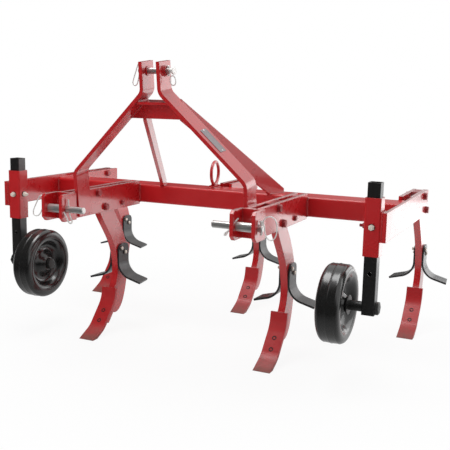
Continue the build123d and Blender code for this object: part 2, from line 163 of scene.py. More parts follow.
edge_wear, entry, result = new_effect(
    "edge_wear", [("Radius", 0.002), ("Amount", 0.5)],
    [("Mask", "NodeSocketFloat"), ("Normal", "NodeSocketVector")])
soft = place_node(edge_wear, "ShaderNodeBevel", {"Radius": entry.outputs["Radius"]}, samples=14)
flat = place_node(edge_wear, "ShaderNodeNewGeometry", {})
turned = place_node(edge_wear, "ShaderNodeVectorMath", {0: soft.outputs["Normal"], 1: flat.outputs["Normal"]},
                    operation="DOT_PRODUCT")
bent = place_node(edge_wear, "ShaderNodeMapRange", {
    "Value": turned.outputs["Value"], "From Min": 0.985, "From Max": 0.86, "To Min": 0.0, "To Max": 1.0})
spot = place_node(edge_wear, "ShaderNodeTexCoord", {})
chips = place_node(edge_wear, "ShaderNodeTexNoise", {
    "Vector": spot.outputs["Object"], "Scale": 70.0, "Detail": 5.0, "Roughness": 0.65})
chipped = place_node(edge_wear, "ShaderNodeMapRange", {
    "Value": chips.outputs["Fac"], "From Min": 0.4, "From Max": 0.68})
both = place_node(edge_wear, "ShaderNodeMath", {0: bent.outputs["Result"], 1: chipped.outputs["Result"]},
                  operation="MULTIPLY")
worn = place_node(edge_wear, "ShaderNodeMath", {0: both.outputs["Value"], 1: entry.outputs["Amount"]},
                  operation="MULTIPLY", use_clamp=True)
edge_wear.links.new(worn.outputs["Value"], result.inputs["Mask"])
edge_wear.links.new(soft.outputs["Normal"], result.inputs["Normal"])

paint_skin, entry, result = new_effect(
    "paint_skin", [("Ripple Scale", 420.0), ("Cloud Scale", 9.0)],
    [("Height", "NodeSocketFloat"), ("Cloud", "NodeSocketFloat")])
spot = place_node(paint_skin, "ShaderNodeTexCoord", {})
ripple = place_node(paint_skin, "ShaderNodeTexNoise", {
    "Vector": spot.outputs["Object"], "Scale": entry.outputs["Ripple Scale"], "Detail": 2.0})
cloud = place_node(paint_skin, "ShaderNodeTexNoise", {
    "Vector": spot.outputs["Object"], "Scale": entry.outputs["Cloud Scale"], "Detail": 4.0, "Roughness": 0.6})
paint_skin.links.new(ripple.outputs["Fac"], result.inputs["Height"])
paint_skin.links.new(cloud.outputs["Fac"], result.inputs["Cloud"])

settled_dust, entry, result = new_effect(
    "settled_dust", [("Amount", 0.2)], [("Mask", "NodeSocketFloat")])
flat = place_node(settled_dust, "ShaderNodeNewGeometry", {})
parts = place_node(settled_dust, "ShaderNodeSeparateXYZ", {"Vector": flat.outputs["Normal"]})
upward = place_node(settled_dust, "ShaderNodeMapRange", {
    "Value": parts.outputs["Z"], "From Min": 0.3, "From Max": 1.0})
spot = place_node(settled_dust, "ShaderNodeTexCoord", {})
patches = place_node(settled_dust, "ShaderNodeTexNoise", {
    "Vector": spot.outputs["Object"], "Scale": 22.0, "Detail": 6.0, "Roughness": 0.7})
patchy = place_node(settled_dust, "ShaderNodeMapRange", {
    "Value": patches.outputs["Fac"], "From Min": 0.35, "From Max": 0.75})
lies = place_node(settled_dust, "ShaderNodeMath", {0: upward.outputs["Result"], 1: patchy.outputs["Result"]},
                  operation="MULTIPLY")
amount = place_node(settled_dust, "ShaderNodeMath", {0: lies.outputs["Value"], 1: entry.outputs["Amount"]},
                    operation="MULTIPLY", use_clamp=True)
settled_dust.links.new(amount.outputs["Value"], result.inputs["Mask"])


def use_effect(tree, effect, **values):
    """Place a node group in a material with its own values."""
    node = tree.nodes.new("ShaderNodeGroup")
    node.node_tree = effect
    for name, value in values.items():
        node.inputs[name.replace("_", " ")].default_value = value
    return node


def coated_steel(name, colour, deep, bare, roughness, coat, ripple_depth, edge, wear, dust):
    """Painted steel: cloudy colour, bare or thin paint on the edges, dust on top, a rippled skin."""
    material = bpy.data.materials.new(name)
    material.use_nodes = True
    tree = material.node_tree
    shader = tree.nodes["Principled BSDF"]
    skin = use_effect(tree, paint_skin, Ripple_Scale=420.0, Cloud_Scale=9.0)
    edges = use_effect(tree, edge_wear, Radius=edge, Amount=wear)
    dirt = use_effect(tree, settled_dust, Amount=dust)
    base = place_node(tree, "ShaderNodeMixRGB", {
        "Fac": skin.outputs["Cloud"], "Color1": (*deep, 1), "Color2": (*colour, 1)})
    thin = place_node(tree, "ShaderNodeMixRGB", {
        "Fac": edges.outputs["Mask"], "Color1": base.outputs["Color"], "Color2": (*bare, 1)})
    dusty = place_node(tree, "ShaderNodeMixRGB", {
        "Fac": dirt.outputs["Mask"], "Color1": thin.outputs["Color"], "Color2": (0.42, 0.38, 0.34, 1)})
    dull = place_node(tree, "ShaderNodeMapRange", {
        "Value": skin.outputs["Cloud"], "From Min": 0.3, "From Max": 0.7,
        "To Min": roughness * 0.82, "To Max": roughness * 1.18})
    duller = place_node(tree, "ShaderNodeMath", {
        0: dirt.outputs["Mask"], 1: 0.5, 2: dull.outputs["Result"]}, operation="MULTIPLY_ADD")
    bump = place_node(tree, "ShaderNodeBump", {
        "Strength": ripple_depth, "Distance": 0.0006, "Height": skin.outputs["Height"],
        "Normal": edges.outputs["Normal"]})
    tree.links.new(dusty.outputs["Color"], shader.inputs["Base Color"])
    tree.links.new(duller.outputs["Value"], shader.inputs["Roughness"])
    tree.links.new(bump.outputs["Normal"], shader.inputs["Normal"])
    shader.inputs["Coat Weight"].default_value = coat
    shader.inputs["Coat Roughness"].default_value = 0.10
    shader.inputs["IOR"].default_value = 1.6
    return material


def finish_nodes(material, *names):
    """Give carried-over CAD nodes their finish."""
    for name in names:
        nodes[name].data.materials.clear()
        nodes[name].data.materials.append(material)


red = (0.53, 0.0080, 0.0110)
deep_red = (0.46, 0.0060, 0.0090)
thin_red = (0.66, 0.060, 0.060)
red_powder = coated_steel(
    "red_powder_coat", red, deep_red, thin_red,
    roughness=0.28, coat=0.8, ripple_depth=0.03, edge=0.0034, wear=0.30, dust=0.03)
beam_powder = coated_steel(
    "red_powder_coat_on_beam", (0.55, 0.0080, 0.0110), (0.48, 0.0060, 0.0090), thin_red,
    roughness=0.36, coat=0.20, ripple_depth=0.05, edge=0.0034, wear=0.30, dust=0.02)
cut_plate = coated_steel(
    "red_powder_coat_on_cut_plate", red, deep_red, thin_red,
    roughness=0.28, coat=0.8, ripple_depth=0.03, edge=0.0055, wear=0.30, dust=0.03)
finish_nodes(beam_powder, "beam")

# Painted highlight: faces that look straight up, the flame-cut tops of the plates, are mixed towards pale
# pink as if a bright light lay along them.
tree = cut_plate.node_tree
shader = tree.nodes["Principled BSDF"]
painted = shader.inputs["Base Color"].links[0].from_socket
flat = place_node(tree, "ShaderNodeNewGeometry", {})
facing = place_node(tree, "ShaderNodeSeparateXYZ", {"Vector": flat.outputs["True Normal"]})
painted_highlight_on_tops = place_node(tree, "ShaderNodeMapRange", {
    "Value": facing.outputs["Z"], "From Min": 0.93, "From Max": 0.98, "To Min": 0.0, "To Max": 0.75})
painted_top_highlight = place_node(tree, "ShaderNodeMixRGB", {
    "Fac": painted_highlight_on_tops.outputs["Result"], "Color1": painted, "Color2": (0.90, 0.58, 0.57, 1)})
tree.links.new(painted_top_highlight.outputs["Color"], shader.inputs["Base Color"])
finish_nodes(cut_plate, "arm_right", "arm_left", "clevis_right", "clevis_left", "clamp_front_right",
             "clamp_front_left", "clamp_rear_right", "clamp_rear_centre", "clamp_rear_left")


# Weld seams of the frame: a coin-like bead laid from ripple to ripple where plates and clevises
# meet the beam and the arms meet its ends. They are under the same red coat.
def alone(piece):
    """Leave only this piece selected and active."""
    bpy.ops.object.select_all(action="DESELECT")
    piece.select_set(True)
    bpy.context.view_layer.objects.active = piece


def into_mesh(piece):
    """Bring the piece's place, turn and size into its mesh."""
    alone(piece)
    bpy.ops.object.transform_apply(location=True, rotation=True, scale=True)


def apply_all(piece):
    """Apply the piece's modifiers from first to last."""
    alone(piece)
    for modifier in list(piece.modifiers):
        bpy.ops.object.modifier_apply(modifier=modifier.name)


def weld_bead(start, end, size):
    """One seam between two points: flattened ripples, each lying half on the last."""
    run = Vector(end) - Vector(start)
    bpy.ops.object.select_all(action="DESELECT")
    bpy.ops.mesh.primitive_uv_sphere_add(segments=10, ring_count=6, radius=size)
    bead = bpy.context.object
    bpy.ops.object.mode_set(mode="EDIT")
    bpy.ops.mesh.select_all(action="SELECT")
    bpy.ops.transform.resize(value=(0.62, 1.0, 1.0))
    bpy.ops.transform.vertex_random(offset=size * 0.12, seed=3)
    bpy.ops.object.mode_set(mode="OBJECT")
    bpy.ops.object.shade_smooth()
    ripples = bead.modifiers.new("ripples", "ARRAY")
    ripples.use_relative_offset = False
    ripples.use_constant_offset = True
    ripples.constant_offset_displace = (size * 0.62, 0, 0)
    ripples.count = max(2, round(run.length / (size * 0.62)) + 1)
    apply_all(bead)
    bead.rotation_mode = "QUATERNION"
    bead.rotation_quaternion = run.to_track_quat("X", "Z")
    bead.location = start
    into_mesh(bead)
    return bead


def both_sides(seams):
    """The seams as given for the right side, and the same on the left."""
    for start, end, size in seams:
        weld_bead_pieces.append(weld_bead(start, end, size))
        other_start = (-start[0], start[1], start[2])
        other_end = (-end[0], end[1], end[2])
        weld_bead_pieces.append(weld_bead(other_start, other_end, size))


def join_pieces(pieces, name, body):
    """Make one piece of several, name it, and let it ride on a body."""
    bpy.ops.object.select_all(action="DESELECT")
    for piece in pieces:
        piece.select_set(True)
    bpy.context.view_layer.objects.active = pieces[0]
    if len(pieces) > 1:
        bpy.ops.object.join()
    whole = bpy.context.object
    whole.name = name
    whole.data.name = name
    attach(whole, body)
    return whole


weld_bead_pieces = []
both_sides([
    # start, end, size
    ((0.3165, 0.0050, 0.468), (0.3165, 0.0050, 0.534), 0.0042),
    ((0.3665, 0.0050, 0.468), (0.3665, 0.0050, 0.534), 0.0042),
    ((0.0250, 0.1162, 0.468), (0.0250, 0.1162, 0.534), 0.0042),
    ((0.6595, 0.1162, 0.468), (0.6595, 0.1162, 0.534), 0.0042),
    ((0.7035, 0.0052, 0.474), (0.7035, 0.0052, 0.528), 0.0040),
    ((0.7035, 0.0140, 0.5363), (0.7035, 0.1075, 0.5363), 0.0040),
    ((0.7035, 0.0140, 0.4657), (0.7035, 0.1075, 0.4657), 0.0040),
    ((0.3166, -0.4276, 0.461), (0.3166, -0.4276, 0.547), 0.0038),
    ((0.3664, -0.4276, 0.461), (0.3664, -0.4276, 0.547), 0.0038),
])
frame_welds = join_pieces(weld_bead_pieces, "welds_of_beam_and_plates", "frame")
frame_welds.data.materials.append(red_powder)

# Mast: two flat bars, each bent twice, lean forward over the beam and hold the top link pin
# between their heads. An angle between them and two stays on the beam keep them there, all welded.
finish_nodes(red_powder, "mast_bar_right", "mast_bar_left", "cross_piece", "stay_right", "stay_left")
mast_stand = Matrix.Translation((0, -0.406863, 0.5)) @ Matrix.Rotation(math.radians(7), 4, "X")


def on_mast(across, back, up):
    """A place given as the upright mast has it, from the line of the lower pins."""
    return tuple(mast_stand @ Vector((across, back, up)))


weld_bead_pieces = []
both_sides([
    # start, end, size
    (on_mast(0.3160, -0.0008, -0.033), on_mast(0.3160, -0.0008, 0.045), 0.0040),
    (on_mast(0.3160, 0.0708, -0.041), on_mast(0.3160, 0.0708, 0.040), 0.0040),
    ((0.3162, -0.4100, 0.5492), (0.3162, -0.3440, 0.5492), 0.0036),
    (on_mast(0.1125, 0.0615, 0.2990), on_mast(0.0625, 0.0615, 0.3470), 0.0036),
    (on_mast(0.0520, 0.0080, 0.3574), on_mast(0.0520, 0.0690, 0.3574), 0.0036),
    (on_mast(0.0710, 0.0708, 0.3060), on_mast(0.0710, 0.0708, 0.3540), 0.0036),
    (on_mast(0.0570, 0.0708, 0.3060), on_mast(0.0570, 0.0708, 0.3540), 0.0036),
    ((0.2238, 0.0060, 0.5364), (0.2515, 0.0756, 0.5364), 0.0038),
    ((0.2125, 0.0100, 0.5364), (0.2404, 0.0800, 0.5364), 0.0038),
])
mast_welds = join_pieces(weld_bead_pieces, "welds_of_mast", "frame")
mast_welds.data.materials.append(red_powder)


# Name plate of the maker, left blank: a thin brushed aluminium plate with rolled-in border,
# held by two rivets on the outer face of the right mast bar.
def choose(kind, wanted):
    """In edit mode, select the faces, edges or points that pass a test."""
    bpy.ops.mesh.select_mode(type=kind)
    bpy.ops.mesh.select_all(action="DESELECT")
    shape = bmesh.from_edit_mesh(bpy.context.object.data)
    shape.normal_update()
    members = {"VERT": shape.verts, "EDGE": shape.edges, "FACE": shape.faces}[kind]
    for member in members:
        if wanted(member):
            member.select_set(True)
    bmesh.update_edit_mesh(bpy.context.object.data)


brushed = bpy.data.materials.new("brushed_aluminium")
brushed.use_nodes = True
tree = brushed.node_tree
shader = tree.nodes["Principled BSDF"]
spot = place_node(tree, "ShaderNodeTexCoord", {})
along = place_node(tree, "ShaderNodeMapping", {
    "Vector": spot.outputs["Object"], "Rotation": (math.radians(-7), math.radians(-43.9), 0.0),
    "Scale": (3.0, 90.0, 90.0)})
strokes = place_node(tree, "ShaderNodeTexNoise", {
    "Vector": along.outputs["Vector"], "Scale": 12.0, "Detail": 6.0, "Roughness": 0.7})
shade = place_node(tree, "ShaderNodeMixRGB", {
    "Fac": strokes.outputs["Fac"], "Color1": (0.20, 0.18, 0.185, 1), "Color2": (0.37, 0.33, 0.34, 1)})
rough = place_node(tree, "ShaderNodeMapRange", {
    "Value": strokes.outputs["Fac"], "To Min": 0.34, "To Max": 0.55})
scratch = place_node(tree, "ShaderNodeBump", {
    "Strength": 0.15, "Distance": 0.0002, "Height": strokes.outputs["Fac"]})
tree.links.new(shade.outputs["Color"], shader.inputs["Base Color"])
tree.links.new(rough.outputs["Result"], shader.inputs["Roughness"])
tree.links.new(scratch.outputs["Normal"], shader.inputs["Normal"])
shader.inputs["Metallic"].default_value = 0.7

bpy.ops.object.select_all(action="DESELECT")
bpy.ops.mesh.primitive_cube_add(size=1)
name_plate = bpy.context.object
bpy.ops.object.mode_set(mode="EDIT")
bpy.ops.transform.resize(value=(0.094, 0.038, 0.0012))
bpy.ops.transform.translate(value=(0, 0, 0.0006))
choose("EDGE", lambda edge: abs(edge.verts[0].co.z - edge.verts[1].co.z) > 0.001)
bpy.ops.mesh.bevel(offset=0.003, segments=3, affect="EDGES")
choose("FACE", lambda face: face.normal.z > 0.9)
bpy.ops.mesh.inset(thickness=0.0022)
bpy.ops.mesh.inset(thickness=0.0006)
bpy.ops.transform.translate(value=(0, 0, -0.0005))
bpy.ops.object.mode_set(mode="OBJECT")
name_plate.data.materials.append(brushed)
plate_parts = [name_plate]
for end in (-1, 1):
    seat = (end * 0.0425, 0, 0.0008)
    bpy.ops.object.select_all(action="DESELECT")
    bpy.ops.mesh.primitive_uv_sphere_add(segments=16, ring_count=10, radius=0.0034, location=seat)
    rivet = bpy.context.object
    bpy.ops.object.mode_set(mode="EDIT")
    bpy.ops.transform.resize(value=(1, 1, 0.55))
    bpy.ops.object.mode_set(mode="OBJECT")
    bpy.ops.object.shade_smooth()
    into_mesh(rivet)
    plate_parts.append(rivet)
bar_slope = Matrix.Rotation(math.radians(43.85), 4, "Y")
plate_seat = mast_stand @ Matrix.Translation((0.1906, 0.037, 0.241)) @ bar_slope
name_plate = join_pieces(plate_parts, "name_plate", "frame")
name_plate.data.transform(plate_seat)

# Lifting ring: a round steel bar, bent to a ring and welded upright on a small lug, which is welded
# to the beam. It is sprayed red with the frame.
finish_nodes(red_powder, "ring")
ring_seams = [
    # start, end, size
    ((-0.0356, 0.0420, 0.5364), (-0.0356, 0.0950, 0.5364), 0.0030),
    ((-0.0144, 0.0420, 0.5364), (-0.0144, 0.0950, 0.5364), 0.0030),
    ((-0.0340, 0.0400, 0.5364), (-0.0160, 0.0400, 0.5364), 0.0030),
    ((-0.0340, 0.0972, 0.5364), (-0.0160, 0.0972, 0.5364), 0.0030),
    ((-0.0310, 0.0560, 0.5470), (-0.0310, 0.0810, 0.5470), 0.0032),
    ((-0.0190, 0.0560, 0.5470), (-0.0190, 0.0810, 0.5470), 0.0032),
]
ring_welds = join_pieces([weld_bead(*seam) for seam in ring_seams], "welds_of_ring", "frame")
ring_welds.data.materials.append(red_powder)


# Lower link pins and top link pin: turned steel bars, bright zinc plated, pushed through the bores
# of the clevises and the mast heads. The top pin has painted washers beside the bars.
def plated_steel(name, light, dark, roughness, metallic, rubbed_colour=(0.75, 0.75, 0.74)):
    """Plated steel: bright and dull patches, turning marks and fine pitting."""
    material = bpy.data.materials.new(name)
    material.use_nodes = True
    tree = material.node_tree
    shader = tree.nodes["Principled BSDF"]
    skin = use_effect(tree, paint_skin, Ripple_Scale=900.0, Cloud_Scale=38.0)
    edges = use_effect(tree, edge_wear, Radius=0.0008, Amount=0.6)
    tone = place_node(tree, "ShaderNodeMixRGB", {
        "Fac": skin.outputs["Cloud"], "Color1": (*dark, 1), "Color2": (*light, 1)})
    rubbed = place_node(tree, "ShaderNodeMixRGB", {
        "Fac": edges.outputs["Mask"], "Color1": tone.outputs["Color"], "Color2": (*rubbed_colour, 1)})
    rough = place_node(tree, "ShaderNodeMapRange", {
        "Value": skin.outputs["Cloud"], "From Min": 0.3, "From Max": 0.7,
        "To Min": roughness * 1.25, "To Max": roughness * 0.8})
    bump = place_node(tree, "ShaderNodeBump", {
        "Strength": 0.12, "Distance": 0.0003, "Height": skin.outputs["Height"],
        "Normal": edges.outputs["Normal"]})
    tree.links.new(rubbed.outputs["Color"], shader.inputs["Base Color"])
    tree.links.new(rough.outputs["Result"], shader.inputs["Roughness"])
    tree.links.new(bump.outputs["Normal"], shader.inputs["Normal"])
    shader.inputs["Metallic"].default_value = metallic
    return material


zinc = plated_steel("bright_zinc", (0.76, 0.75, 0.73), (0.55, 0.55, 0.54), 0.33, 0.85)
dark_washer = plated_steel("dark_washer", (0.060, 0.045, 0.045), (0.035, 0.026, 0.027), 0.42, 0.7,
                           rubbed_colour=(0.16, 0.14, 0.13))
finish_nodes(zinc, "lower_pin_right", "lower_pin_left", "top_pin")


def washer(outer, inner, thickness):
    """A flat washer lying on Z = 0, its punched edges rounded."""
    bpy.ops.object.select_all(action="DESELECT")
    bpy.ops.mesh.primitive_circle_add(vertices=32, radius=outer, fill_type="NGON")
    ring = bpy.context.object
    bpy.ops.object.mode_set(mode="EDIT")
    bpy.ops.mesh.select_mode(type="FACE")
    bpy.ops.mesh.select_all(action="SELECT")
    bpy.ops.mesh.inset(thickness=outer - inner)
    bpy.ops.mesh.delete(type="FACE")
    bpy.ops.mesh.select_all(action="SELECT")
    bpy.ops.mesh.extrude_region_move(TRANSFORM_OT_translate={"value": (0, 0, thickness)})
    bpy.ops.mesh.select_all(action="SELECT")
    bpy.ops.mesh.normals_make_consistent(inside=False)
    bpy.ops.object.mode_set(mode="OBJECT")
    rounding = ring.modifiers.new("rounding", "BEVEL")
    rounding.width = thickness * 0.22
    rounding.segments = 2
    rounding.limit_method = "ANGLE"
    apply_all(ring)
    bpy.ops.object.shade_smooth_by_angle(angle=math.radians(40))
    return ring


pin_washers = []
for across in (-0.0247, 0.0219, 0.0412):
    ring = washer(0.0150, 0.0099, 0.0028)
    lying = mast_stand @ Matrix.Translation((across, 0.035, 0.45)) @ Matrix.Rotation(math.radians(90), 4, "Y")
    ring.data.transform(lying)
    ring.data.materials.append(red_powder)
    pin_washers.append(ring)
join_pieces(pin_washers, "washers_of_top_pin", "frame")


# Lock pins: in each end of the hitch pins a short pin with a head and a loop of spring wire,
# and hairpins of the same wire towards the middle. All are zinc plated and pushed in by hand.
def wire_loop(points, thick, closed, name):
    """Round spring wire bent smoothly past the points."""
    line = bpy.data.curves.new(name, "CURVE")
    line.dimensions = "3D"
    line.resolution_u = 6
    line.bevel_depth = thick / 2
    line.bevel_resolution = 3
    line.use_fill_caps = True
    spline = line.splines.new("NURBS")
    spline.points.add(len(points) - 1)
    for point, place in zip(spline.points, points):
        point.co = (*place, 1)
    spline.order_u = 3
    spline.use_cyclic_u = closed
    spline.use_endpoint_u = not closed
    wire = bpy.data.objects.new(name, line)
    bpy.context.scene.collection.objects.link(wire)
    alone(wire)
    bpy.ops.object.convert(target="MESH")
    bpy.ops.object.shade_smooth()
    return bpy.context.object


def turned_pin(radius, low, high, head_radius, head_height):
    """A round pin along Z with a pointed lower end and a rounded head on top."""
    bpy.ops.object.select_all(action="DESELECT")
    bpy.ops.mesh.primitive_circle_add(vertices=24, radius=radius * 0.4, location=(0, 0, 0), fill_type="NGON")
    pin = bpy.context.object
    bpy.ops.object.mode_set(mode="EDIT")
    bpy.ops.mesh.select_all(action="SELECT")
    bpy.ops.transform.translate(value=(0, 0, low))
    steps = [(radius, radius * 0.8), (radius, high - low - radius * 0.8), (head_radius * 0.86, 0.0),
             (head_radius, head_height * 0.25), (head_radius, head_height * 0.5),
             (head_radius * 0.8, head_height * 0.25)]
    wide = radius * 0.4
    for reach, rise in steps:
        bpy.ops.mesh.extrude_region_move(TRANSFORM_OT_translate={"value": (0, 0, rise)})
        bpy.ops.transform.resize(value=(reach / wide, reach / wide, 1))
        wide = reach
    bpy.ops.mesh.select_all(action="SELECT")
    bpy.ops.mesh.normals_make_consistent(inside=False)
    bpy.ops.object.mode_set(mode="OBJECT")
    bpy.ops.object.shade_smooth_by_angle(angle=math.radians(35))
    return pin


def mirror_across(piece):
    """The left-hand copy of a finished right-hand piece, with its own mesh."""
    other = piece.copy()
    other.data = piece.data.copy()
    other.data.transform(Matrix.Scale(-1, 4, (1, 0, 0)))
    other.data.flip_normals()
    bpy.context.scene.collection.objects.link(other)
    return other


spring_wire = plated_steel("spring_wire_zinc", (0.88, 0.86, 0.84), (0.70, 0.69, 0.67), 0.38, 0.30)
pin_line = -0.479363


def beside_pin(points, depth):
    """Places in the upright plane along the lower pins, given as across and up."""
    return [(across, pin_line + depth, 0.5 + up) for across, up in points]


right_loop = [(0.394, 0.020), (0.403, 0.034), (0.419, 0.039), (0.435, 0.031), (0.441, 0.006), (0.437, -0.022),
              (0.424, -0.034), (0.409, -0.028), (0.4015, -0.008), (0.4005, 0.008)]
left_loop = [(-0.394, 0.020), (-0.398, 0.040), (-0.411, 0.038), (-0.427, 0.010), (-0.441, -0.018),
             (-0.438, -0.031), (-0.422, -0.033), (-0.409, -0.022), (-0.402, -0.006), (-0.4005, 0.008)]
hairpin = [
    # across, forward of the pin's middle, up
    (0.2945, 0.0000, 0.034), (0.2935, 0.0000, 0.012), (0.2915, 0.0000, -0.012), (0.2860, 0.0010, -0.026),
    (0.2770, 0.0040, -0.036), (0.2760, 0.0090, -0.044), (0.2840, 0.0130, -0.042), (0.2890, 0.0155, -0.028),
    (0.2970, 0.0162, -0.014), (0.3060, 0.0165, -0.002), (0.3090, 0.0160, 0.010), (0.3160, 0.0140, 0.020),
    (0.3220, 0.0100, 0.026),
]
for side, name, loop in ((1, "right", right_loop), (-1, "left", left_loop)):
    outer_pin = turned_pin(0.0040, -0.021, 0.0180, 0.0056, 0.0055)
    outer_pin.data.transform(Matrix.Translation((side * 0.3905, pin_line, 0.5)))
    outer_wire = wire_loop(beside_pin(loop, 0.0), 0.0038, True, "loop")
    droop = 1.0 if name == "left" else 0.66
    clip_points = [(side * across, pin_line - forward, 0.5 + (up if up > 0 else up * droop))
                   for across, forward, up in hairpin]
    clip = wire_loop(clip_points, 0.0050, False, "hairpin")
    pins = [outer_pin, outer_wire, clip]
    for piece in pins:
        piece.data.materials.append(spring_wire)
    locks = join_pieces(pins, f"lock_pins_of_{name}_clevis", "frame")
    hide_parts(f"lock_pins_{name}")

top_pieces = []
for side in (1, -1):
    top_lock = turned_pin(0.0040, -0.0165, 0.0120, 0.0050, 0.0045)
    top_lock.data.transform(mast_stand @ Matrix.Translation((side * 0.049, 0.035, 0.45)))
    top_pieces.append(top_lock)
pin_end = turned_pin(0.0093, 0.0, 0.0110, 0.0125, 0.0045)
end_turn = mast_stand @ Matrix.Translation((0.0545, 0.035, 0.45)) @ Matrix.Rotation(math.radians(90), 4, "Y")
pin_end.data.transform(end_turn)
top_pieces.append(pin_end)
left_bail = [(-0.050, 0.470), (-0.057, 0.474), (-0.064, 0.458), (-0.076, 0.430), (-0.0835, 0.411),
             (-0.078, 0.403), (-0.067, 0.406), (-0.060, 0.425), (-0.055, 0.448)]
right_bail = [(0.052, 0.428), (0.058, 0.436), (0.068, 0.434), (0.073, 0.422), (0.070, 0.408), (0.060, 0.405),
              (0.053, 0.414)]
for bail in (left_bail, right_bail):
    on_head = [on_mast(across, 0.035, up) for across, up in bail]
    top_pieces.append(wire_loop(on_head, 0.0034, True, "bail"))
for piece in top_pieces:
    piece.data.materials.append(spring_wire)
top_locks = join_pieces(top_pieces, "lock_pins_of_top_pin", "frame")
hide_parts("lock_pins_top")

# Tine shanks: profile-cut from 25 mm plate, in a long curve that ends under the share, and sprayed
# red like the frame before they are bolted in.
finish_nodes(red_powder, *[f"shank_{place}" for place in (
    "front_right", "front_left", "rear_right", "rear_centre", "rear_left")])


# Tine bolts: hexagon bolts of 16 mm through plates and shank, each with a washer under its head
# and its nut. They went in before the coat, so they are red too, but a darker red than the frame's:
# the darkening is painted shade.
def hexagon(across_flats, height, base):
    """A hexagon prism on Z = base, its upper corners turned off."""
    radius = across_flats / 2 / math.cos(math.radians(30))
    middle = (0, 0, base + height / 2)
    bpy.ops.object.select_all(action="DESELECT")
    bpy.ops.mesh.primitive_cylinder_add(vertices=6, radius=radius, depth=height, location=middle)
    block = bpy.context.object
    into_mesh(block)
    bpy.ops.object.mode_set(mode="EDIT")
    choose("FACE", lambda face: face.normal.z > 0.9)
    bpy.ops.mesh.inset(thickness=radius * 0.11)
    bpy.ops.transform.translate(value=(0, 0, radius * 0.07))
    bpy.ops.object.mode_set(mode="OBJECT")
    rounding = block.modifiers.new("rounding", "BEVEL")
    rounding.width = 0.0005
    rounding.segments = 2
    rounding.limit_method = "ANGLE"
    rounding.angle_limit = math.radians(25)
    apply_all(block)
    bpy.ops.object.shade_smooth_by_angle(angle=math.radians(20))
    return block


def threaded_bar(radius, low, high, pitch):
    """A bolt's shaft along Z: threads in its upper part and a turned-off end."""
    bpy.ops.object.select_all(action="DESELECT")
    bpy.ops.mesh.primitive_circle_add(vertices=20, radius=radius, location=(0, 0, 0), fill_type="NGON")
    bar = bpy.context.object
    bpy.ops.object.mode_set(mode="EDIT")
    bpy.ops.mesh.select_all(action="SELECT")
    bpy.ops.transform.translate(value=(0, 0, low))
    threads = 6
    root = 0.88
    bpy.ops.mesh.extrude_region_move(TRANSFORM_OT_translate={"value": (0, 0, high - low - threads * pitch)})
    for _ in range(threads):
        for factor in (root, 1 / root):
            bpy.ops.mesh.extrude_region_move(TRANSFORM_OT_translate={"value": (0, 0, pitch / 2)})
            bpy.ops.transform.resize(value=(factor, factor, 1))
    bpy.ops.mesh.extrude_region_move(TRANSFORM_OT_translate={"value": (0, 0, pitch * 0.6)})
    bpy.ops.transform.resize(value=(0.82, 0.82, 1))
    bpy.ops.mesh.select_all(action="SELECT")
    bpy.ops.mesh.normals_make_consistent(inside=False)
    bpy.ops.object.mode_set(mode="OBJECT")
    bpy.ops.object.shade_smooth_by_angle(angle=math.radians(50))
    return bar


def bolt_with_nut(grip, shaft, across_flats, washer_size, thread_out, colours):
    """A bolt along X with its grip about the origin: head at +X, nut at -X, a washer under each."""
    head_colour, washer_colour, thread_colour = colours
    made = []
    for direction in (1, -1):
        seat = Matrix.Rotation(math.radians(90 * direction), 4, "Y")
        seat = Matrix.Translation((direction * grip / 2, 0, 0)) @ seat
        ring = washer(washer_size, shaft, shaft * 0.30)
        ring.data.materials.append(washer_colour)
        head = hexagon(across_flats, shaft * 0.95, shaft * 0.29)
        head.data.materials.append(head_colour)
        for piece in (ring, head):
            piece.data.transform(seat)
            made.append(piece)
    end = shaft * 1.24 + thread_out
    bar = threaded_bar(shaft * 0.98, -grip / 2, grip / 2 + end, shaft * 0.22)
    bar.data.materials.append(thread_colour)
    bar.data.transform(Matrix.Rotation(math.radians(-90), 4, "Y"))
    made.append(bar)
    bpy.ops.object.select_all(action="DESELECT")
    for piece in made:
        piece.select_set(True)
    bpy.context.view_layer.objects.active = made[0]
    bpy.ops.object.join()
    return bpy.context.object


def copy_at(piece, place):
    """A copy with a mesh of its own, moved there."""
    other = piece.copy()
    other.data = piece.data.copy()
    other.data.transform(place)
    bpy.context.scene.collection.objects.link(other)
    return other


# The frame's red paint, painted darker as shade on the bolts.
bolt_red_darkened_as_painted_shade = coated_steel(
    "bolt_red_paint_darkened_as_painted_shade", (0.36, 0.0065, 0.0095), (0.22, 0.0050, 0.0075), (0.42, 0.040, 0.040),
    roughness=0.42, coat=0.15, ripple_depth=0.15, edge=0.0008, wear=0.3, dust=0.05)
coats = (bolt_red_darkened_as_painted_shade, bolt_red_darkened_as_painted_shade, bolt_red_darkened_as_painted_shade)
thin_bolt = bolt_with_nut(0.049, 0.008, 0.0225, 0.0140, 0.004, coats)
thick_bolt = bolt_with_nut(0.056, 0.008, 0.0225, 0.0140, 0.004, coats)
small_bolt = bolt_with_nut(0.049, 0.0055, 0.0160, 0.0095, 0.003, coats)
rear_row = pin_line + 0.572
tines = [
    # name, across, row start, bolt for it, its middle beside the shank's middle
    ("front_right", 0.3415, pin_line, thin_bolt, 0.0),
    ("front_left", -0.3415, pin_line, thin_bolt, 0.0),
    ("rear_right", 0.6845, rear_row, thick_bolt, 0.0035),
    ("rear_centre", 0.0, rear_row, thin_bolt, 0.0),
    ("rear_left", -0.6845, rear_row, thick_bolt, -0.0035),
]
